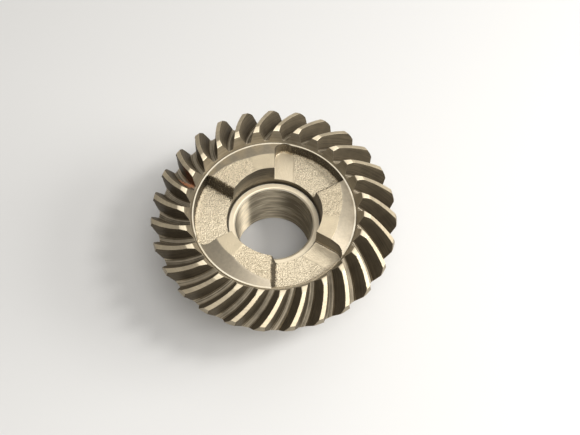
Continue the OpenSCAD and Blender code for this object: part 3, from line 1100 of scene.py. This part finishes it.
def tooth_steel(name, finish, light, dark, stretch, blur, depth, roughness, metallic):
    """Gear-cut steel: lines along the tooth, some stain, and copper-coloured rust in one tooth space."""
    tree = Tree(name)
    marks = tree.attribute("marks", "Vector")
    along, across, space = tree.split(marks)
    lines = tree.noise(tree.vector("MULTIPLY", marks, stretch), size=1.0, detail=2.0, roughness=0.6)
    patches = tree.spots(TOOTH_STAIN_SIZE, low=0.3, high=0.75)
    share = tree.between(TOOTH_STAIN_SHARE, tree.ramp(lines, 0.5 - blur, 0.5 + blur), patches)
    base = tree.mix(share, dark, light)

    # The stain: a bright streak that leaves the root slowly, and a darker patch on the flank beside it
    here = tree.math("COMPARE", space, RUST_SPACE, SAME_SPACE)
    lean = tree.math("MULTIPLY", tree.math("SUBTRACT", along, RUST_FROM), RUST_LEAN)
    aside = tree.math("SUBTRACT", across, tree.math("SUBTRACT", lean, RUST_HALF))
    ragged = tree.uneven(tree.position, RUST_RAGGED_SIZE, RUST_RAGGED)
    off = tree.math("ADD", tree.math("ABSOLUTE", aside), ragged)
    begins = tree.ramp(along, RUST_FROM, RUST_FROM + RUST_FADE_IN)
    stops = tree.ramp(along, RUST_TO + RUST_FADE_OUT, RUST_TO - RUST_FADE_OUT)
    streak = tree.product(tree.ramp(off, RUST_HALF, RUST_CORE), begins, stops, here)
    beside = tree.ramp(across, *RUST_PATCH_W)
    near = tree.ramp(along, *(RUST_FROM + side for side in RUST_PATCH_L))
    patch = tree.product(beside, near, here, tree.spots(RUST_PATCH_SIZE, low=0.3, high=0.6))
    base = tree.mix(streak, tree.mix(patch, base, finish.rust_dark), finish.rust)

    rough = tree.between(patches, roughness, roughness + TOOTH_STAIN_ROUGHER)
    tree.shader.inputs["Specular IOR Level"].default_value = TOOTH_GLOSS
    return tree.finish(base, rough, tree.bump(lines, depth), metallic)


def face_steel(name, finish, face):
    """The lug side: level and milled where the forged mark is below zero, smooth on the turned band, grainy
    elsewhere, lighter below the rim as painted light, and with painted shade on walls and drive faces."""
    tree = Tree(name)
    mark = tree.attribute("forged", "Fac")
    wall, _, cut = tree.split(tree.attribute("marks", "Vector"))
    x, y, z = tree.split(tree.position)
    outside = tree.math("GREATER_THAN", tree.vector("LENGTH", tree.joined(x, y, 0.0)), face.band_r)
    above = tree.math("GREATER_THAN", z, face.rim_h - face.edge_break)
    band = tree.product(outside, above)
    border = tree.math("ADD", mark, tree.uneven(tree.position, EDGE_SIZE, EDGE_WIDTH))
    forged = tree.ramp(border, 0.0, EDGE_WIDTH)

    # Level tops, milled slots and the turned band
    sand = tree.noise(tree.position, SAND_SIZE, detail=2.0)
    share = tree.between(LEVEL_PATCH_SHARE, sand, tree.spots(LEVEL_PATCH, low=0.3, high=0.7))
    level = tree.mix(share, finish.level_dark, finish.level_light)
    # Painted light: below the rim the slots take the lighter milled colour
    level = tree.mix(above, finish.milled, level)
    mottled = tree.mix(tree.spots(BAND_PATCH, low=0.3, high=0.7), finish.band, finish.turned_light)
    level = tree.mix(band, level, mottled)

    # Forged grain, painted lighter in the pockets, with painted shade on walls and drive faces and a painted
    # shadow line round the slots
    grain = tree.noise(tree.position, GRAIN_SIZE, detail=2.5)
    relief = tree.between(LUMP_SHARE, grain, tree.noise(tree.position, LUMP_SIZE, detail=2.0))
    # Painted light: the grain is lighter in the pockets below the rim
    grain_tops_lit_low = tree.mix(above, finish.floor_light, finish.forged_light)
    raw = tree.mix(tree.ramp(relief, 0.28, 0.64), finish.forged_dark, grain_tops_lit_low)
    base = tree.mix(forged, level, raw)
    # Painted shade on the walls, with ragged edges
    ragged = tree.math("ADD", wall, tree.product(tree.math("SUBTRACT", 0.5, relief), SHADE_RAGGED))
    base = tree.mix(tree.ramp(ragged, 0.2, 1.0), base, finish.wall)
    # A painted shadow line along the edge of the slots, below the rim
    line = tree.ramp(tree.math("ABSOLUTE", mark), SLOT_SHADOW_W, 0.0)
    line = tree.product(line, tree.math("SUBTRACT", 1.0, above), SLOT_SHADOW)
    base = tree.mix(line, base, finish.wall)
    # Drive faces in painted shade
    base = tree.mix(cut, base, finish.cut)

    smooth = tree.between(tree.between(band, SAND_RELIEF, 0.0), 0.5, sand)
    worn = tree.between(tree.between(above, FLOOR_RELIEF, 1.0), 0.5, relief)
    normal = tree.bump(tree.between(forged, smooth, worn), FACE_DEPTH)
    rough = tree.between(band, LEVEL_ROUGHNESS, BAND_ROUGHNESS)
    rough = tree.between(forged, rough, FORGED_ROUGHNESS)
    return tree.finish(base, rough, normal, metallic=0.75)


def rim_steel(name, finish):
    """The rim land: bright and turned, but raw and dark where its forged mark is above zero."""
    tree = Tree(name)
    raw = tree.ramp(tree.attribute("forged", "Fac"), 0.1, 0.3)
    lines = tree.round_marks(RIM_LINE_W)
    grain = tree.noise(tree.position, RAW_SIZE, detail=4.0, roughness=0.62)
    bright = tree.mix(tree.ramp(lines, 0.25, 0.75), finish.tip_light, finish.bright)
    dark = tree.mix(tree.ramp(grain, 0.3, 0.7), finish.turned_dark, finish.forged_dark)
    base = tree.mix(raw, bright, dark)
    height = tree.between(raw, tree.product(lines, RIM_LINE_RELIEF), grain)
    rough = tree.between(raw, RIM_ROUGHNESS, RAW_ROUGHNESS)
    return tree.finish(base, rough, tree.bump(height, RIM_DEPTH), metallic=0.5)


def bore_steel(name, finish):
    """The bore: fine lines round it, a few darker rings, and on one side a strip of painted highlight with
    its own roughness.
    """
    tree = Tree(name)
    x, y, _ = tree.split(tree.position)
    around = tree.vector("NORMALIZE", tree.joined(x, y, 0.0))
    # The side of the bore that gets the strip of painted highlight
    side = tree.vector("DOT_PRODUCT", around, (math.cos(HIGHLIGHT_TURN), math.sin(HIGHLIGHT_TURN), 0.0))
    side = tree.math("ADD", side, tree.uneven(around, HIGHLIGHT_WAVE, HIGHLIGHT_UNEVEN, detail=1.0))
    highlight_strip = tree.ramp(side, HIGHLIGHT_END, HIGHLIGHT_FULL)
    lines = tree.round_marks(BORE_LINE_W)
    rings = tree.ramp(tree.round_marks(BORE_RING_W), 0.35, 0.6)
    share = tree.between(HIGHLIGHT_SHARE, tree.product(tree.ramp(lines, 0.2, 0.8), rings), highlight_strip)
    # Painted highlight: the strip is lightened towards the floor_light colour
    base = tree.mix(share, finish.turned_dark, finish.floor_light)
    tree.turned(1.0)
    rough = tree.between(highlight_strip, BORE_ROUGHNESS, HIGHLIGHT_ROUGHNESS)
    return tree.finish(base, rough, tree.bump(lines, BORE_DEPTH), metallic=1.0)


def make_finishes(finish, face):
    """All materials of the gear, in the order of the mesh's slots."""
    made = {
        "flank": tooth_steel(
            "cut_flank", finish, finish.flank_light, finish.flank_dark,
            stretch=(0.03, 3.0, 5.0), blur=0.3, depth=0.02 * MM, roughness=0.5, metallic=0.3,
        ),
        "root": tooth_steel(
            "cut_root", finish, finish.root_light, finish.root_dark,
            stretch=(0.02, 2.3, 5.0), blur=0.14, depth=0.06 * MM, roughness=0.4, metallic=0.8,
        ),
        "tip": turned_steel(
            "turned_tip", finish.tip_light, finish.tip_dark,
            width=0.3 * MM, depth=0.008 * MM, roughness=0.42, metallic=0.85,
        ),
        "crown": turned_steel(
            "turned_crown", finish.floor_light, finish.tip_light,
            width=0.3 * MM, depth=0.006 * MM, roughness=0.38, metallic=0.45,
        ),
        "toe": turned_steel(
            "turned_toe", finish.turned_light, finish.turned_dark,
            width=0.8 * MM, depth=0.008 * MM, roughness=0.45, metallic=0.8,
        ),
        "heel": turned_steel(
            "turned_heel", finish.turned_light, finish.turned_dark,
            width=0.4 * MM, depth=0.015 * MM, roughness=0.45, metallic=0.8,
        ),
        "rim": rim_steel("turned_rim", finish),
        "face": face_steel("lug_face", finish, face),
        "counterbore": turned_steel(
            "shaded_counterbore", finish.turned_dark, finish.shade,
            width=0.5 * MM, depth=0.01 * MM, roughness=0.42, metallic=0.8,
        ),
        "ring": turned_steel(
            "turned_ring", finish.floor_light, finish.milled,
            width=0.3 * MM, depth=0.006 * MM, roughness=0.42, metallic=0.6,
        ),
        "bore": bore_steel("turned_bore", finish),
        "journal": turned_steel(
            "ground_journal", finish.bright, finish.tip_light,
            width=0.15 * MM, depth=0.002 * MM, roughness=0.3, metallic=0.95, turned=0.5,
        ),
        "back": turned_steel(
            "turned_back", finish.turned_light, finish.turned_dark,
            width=0.4 * MM, depth=0.015 * MM, roughness=0.36, metallic=0.9, turned=0.5,
        ),
    }
    return [made[name] for name in FINISHES]


class GEAR_OT_gear(bpy.types.Operator):
    """Build the gear as one closed mesh, give it its finishes, and put it in place of its plain solid"""

    bl_idname = "gear.build_gear"
    bl_label = "Build Gear"

    def execute(self, context):
        scene = context.scene
        teeth, face, hub = scene.gear_teeth, scene.gear_face, scene.gear_hub
        blank = Blank(teeth, face, hub)
        skin = Skin()
        belt = Teeth(skin, teeth, face, blank)
        toe_foot, crowns = belt.add_toe()
        heel_low = belt.add_length(crowns)
        mouth, rim_outer, turns = add_face(skin, face, hub, blank)
        web_edge = add_back(skin, hub, blank, mouth, turns)
        skin.bridge(rim_outer, toe_foot, ZONE["toe"])
        skin.bridge(heel_low, web_edge, ZONE["back"])
        mesh = skin.mesh("gear_body")
        roughen(mesh, face)
        mesh.shade_smooth()
        mesh.set_sharp_from_angle(angle=SHARP_ANGLE)
        for material in make_finishes(scene.gear_finish, face):
            mesh.materials.append(material)
        gear = bpy.data.objects.new("gear_body", mesh)
        scene.collection.objects.link(gear)
        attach(gear, "root")
        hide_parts(NODE)
        return {"FINISHED"}


class GEAR_OT_stage(bpy.types.Operator):
    """Build the pale floor, the soft light and the camera"""

    bl_idname = "gear.build_stage"
    bl_label = "Build Stage"

    def execute(self, context):
        stage = context.scene.gear_stage
        make_floor(stage)
        make_sky(stage)
        make_lamp("top_lamp", stage.top_at, stage.top_width, stage.top_depth, stage.top_power)
        make_lamp("side_lamp", stage.side_at, stage.side_size, stage.side_size, stage.side_power)
        fill = make_lamp("fill_lamp", stage.fill_at, stage.fill_size, stage.fill_size, stage.fill_power)
        fill.visible_glossy = False
        make_camera(stage, context.scene.gear_face.rim_h)
        context.scene.view_settings.view_transform = "Standard"
        return {"FINISHED"}


def make_floor(stage):
    """A plain matt floor under the hub end."""
    half = FLOOR_SIDE / 2
    mesh = bpy.data.meshes.new("floor")
    corners = [(-half, -half, 0), (half, -half, 0), (half, half, 0), (-half, half, 0)]
    mesh.from_pydata(corners, [], [(0, 1, 2, 3)])
    floor = bpy.data.objects.new("floor", mesh)
    bpy.context.scene.collection.objects.link(floor)
    tree = Tree("floor_paint")
    tree.shader.inputs["Base Color"].default_value = (*stage.floor, 1.0)
    tree.shader.inputs["Roughness"].default_value = FLOOR_ROUGHNESS
    tree.shader.inputs["Specular IOR Level"].default_value = FLOOR_GLOSS
    mesh.materials.append(tree.material)
    floor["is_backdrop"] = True


def make_sky(stage):
    """A soft sky that is brightest in one direction."""
    world = bpy.data.worlds.new("soft_sky")
    bpy.context.scene.world = world
    world.use_nodes = True
    tree = world.node_tree
    background = tree.nodes["Background"]
    background.inputs["Color"].default_value = (*stage.sky, 1.0)
    where = tree.nodes.new("ShaderNodeTexCoord")
    towards = tree.nodes.new("ShaderNodeVectorMath")
    towards.operation = "DOT_PRODUCT"
    towards.inputs[1].default_value = stage.sky_from
    height = tree.nodes.new("ShaderNodeMapRange")
    height.interpolation_type = "SMOOTHSTEP"
    height.inputs["From Min"].default_value = stage.sky_edge
    height.inputs["To Min"].default_value = stage.sky_side
    height.inputs["To Max"].default_value = stage.sky_top
    tree.links.new(where.outputs["Generated"], towards.inputs[0])
    tree.links.new(towards.outputs["Value"], height.inputs["Value"])
    tree.links.new(height.outputs["Result"], background.inputs["Strength"])


def make_lamp(name, at, width, depth, power):
    """A flat lamp that shines at the foot of the gear."""
    data = bpy.data.lights.new(name, "AREA")
    data.energy = power
    data.shape = "RECTANGLE"
    data.size = width
    data.size_y = depth
    lamp = bpy.data.objects.new(name, data)
    lamp.location = at
    lamp.rotation_euler = Vector(at).to_track_quat("Z", "Y").to_euler()
    bpy.context.scene.collection.objects.link(lamp)
    return lamp


def make_camera(stage, rim_h):
    """A camera that sees the gear as the photograph does."""
    azimuth, elevation = stage.camera_azimuth, stage.camera_elevation
    level = Vector((math.sin(azimuth), -math.cos(azimuth), 0.0)) * math.cos(elevation)
    back = level + Vector((0.0, 0.0, math.sin(elevation)))
    right = Vector((math.cos(azimuth), math.sin(azimuth), 0.0))
    down = (-back).cross(right)
    across = (stage.aim_x - stage.picture_w / 2) / stage.focal
    below = (stage.aim_y - stage.picture_h / 2) / stage.focal
    ahead = Vector((0.0, 0.0, 1.0))
    turn = ahead.rotation_difference(Vector((across, below, 1.0)).normalized()).to_matrix()
    roll = Matrix.Rotation(stage.camera_roll, 3, "Z")
    axes = roll @ turn @ Matrix((right, down, -back))
    data = bpy.data.cameras.new("camera")
    data.sensor_width = FILM_W
    data.lens = stage.focal / stage.picture_w * data.sensor_width
    data.clip_start = CAMERA_NEAR
    camera = bpy.data.objects.new("camera", data)
    matrix = Matrix((axes[0], -axes[1], -axes[2])).transposed().to_4x4()
    matrix.translation = Vector((0.0, 0.0, rim_h)) + back * stage.camera_distance
    camera.matrix_world = matrix
    bpy.context.scene.collection.objects.link(camera)
    bpy.context.scene.camera = camera


class GEAR_PT_panel(bpy.types.Panel):
    """Sizes, colours and the building steps"""

    bl_idname = "GEAR_PT_panel"
    bl_label = "Outboard Reverse Gear"
    bl_space_type = "VIEW_3D"
    bl_region_type = "UI"
    bl_category = "Gear"

    def draw(self, context):
        for group in GROUPS:
            if group == "gear_stage":
                self.layout.operator(GEAR_OT_gear.bl_idname)
            for name in GROUPS[group].__annotations__:
                self.layout.prop(getattr(context.scene, group), name)
        self.layout.operator(GEAR_OT_stage.bl_idname)


GROUPS = {
    "gear_teeth": GEAR_PG_teeth,
    "gear_face": GEAR_PG_face,
    "gear_hub": GEAR_PG_hub,
    "gear_finish": GEAR_PG_finish,
    "gear_stage": GEAR_PG_stage,
}
CLASSES = (*GROUPS.values(), GEAR_OT_gear, GEAR_OT_stage, GEAR_PT_panel)


def register():
    """Registers the classes and gives the scene its groups of sizes."""
    for cls in CLASSES:
        bpy.utils.register_class(cls)
    for name, group in GROUPS.items():
        setattr(bpy.types.Scene, name, PointerProperty(type=group))


def unregister():
    """Takes the groups and classes away again."""
    for name in GROUPS:
        delattr(bpy.types.Scene, name)
    for cls in reversed(CLASSES):
        bpy.utils.unregister_class(cls)


def main():
    """Builds the gear and its stage."""
    register()
    bpy.ops.gear.build_gear()
    bpy.ops.gear.build_stage()
    boxes = {"cad": CAD_BOX, "visual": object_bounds()}
    {name: [list(corner) for corner in box] for name, box in boxes.items()}


if __name__ == "__main__":
    main()
